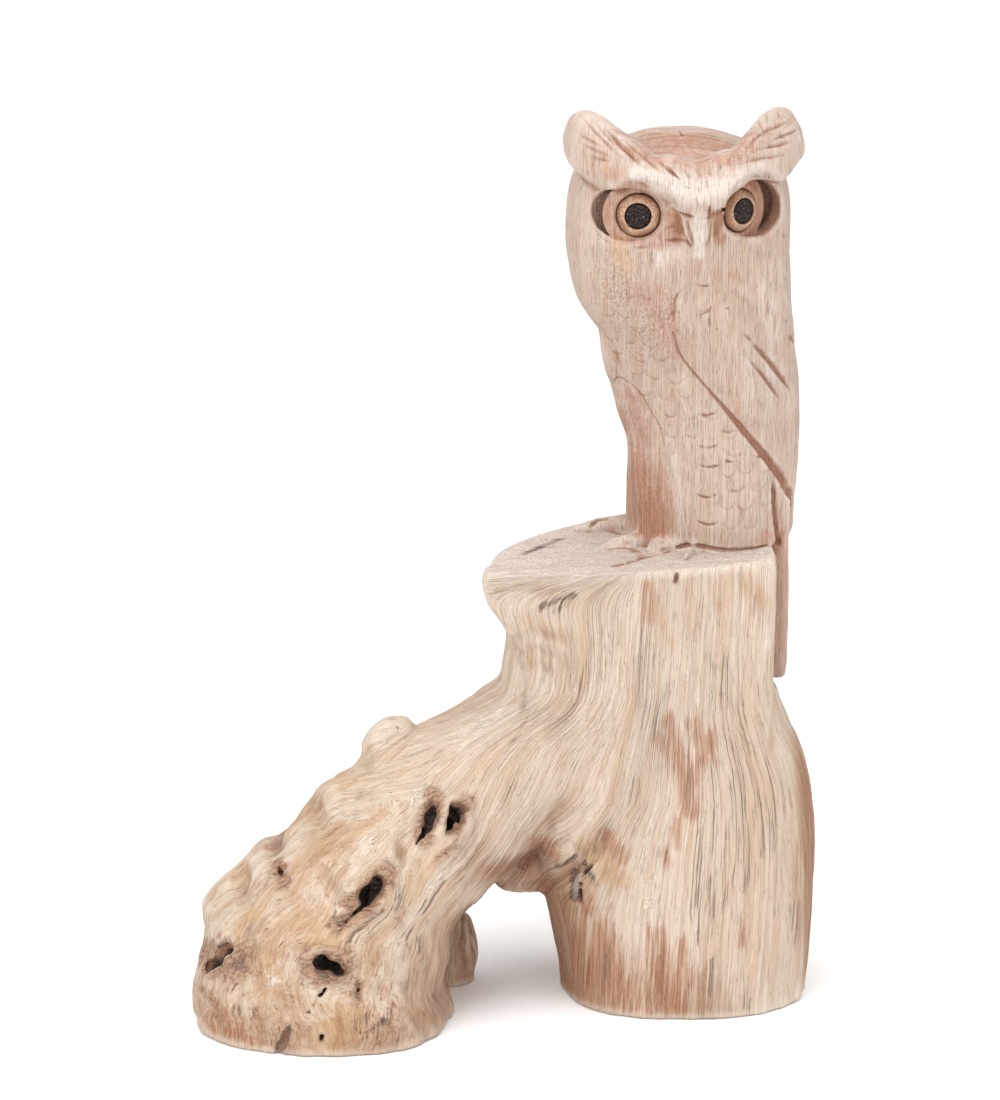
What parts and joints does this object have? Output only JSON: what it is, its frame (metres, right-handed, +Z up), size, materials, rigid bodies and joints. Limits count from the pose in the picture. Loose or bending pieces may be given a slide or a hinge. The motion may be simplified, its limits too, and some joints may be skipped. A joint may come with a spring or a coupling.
{
  "type": "carved owl figurine",
  "caption": "Free-standing wooden figurine: a carved owl perched on a natural forked root stump, with turned iris plugs and dark pupil pegs set in its eye sockets.",
  "frame": {"origin": "on the table, under the middle of the bounding box", "axes": "+Z up from the table, -Y towards the viewer that the owl's face looks at, +X towards the trunk and the tail"},
  "size_m": [0.2079, 0.1203, 0.2982],
  "materials": {
    "stump_wood": "bare bleached root wood, matt, with grey and rust-brown streaks, knot holes and cracks",
    "owl_wood": "bare carved wood, matt, fine straight grain, faint pink-brown in the cuts",
    "iris_wood": "bare turned wood, matt, slightly darker than the head",
    "pupil_wood": "dark close-grained peg, end grain showing, dull"
  },
  "bodies": {
    "root": {"root_stump": "stump_wood", "owl": "owl_wood", "left_iris": "iris_wood", "right_iris": "iris_wood", "left_pupil": "pupil_wood", "right_pupil": "pupil_wood"}
  },
  "joints": []
}
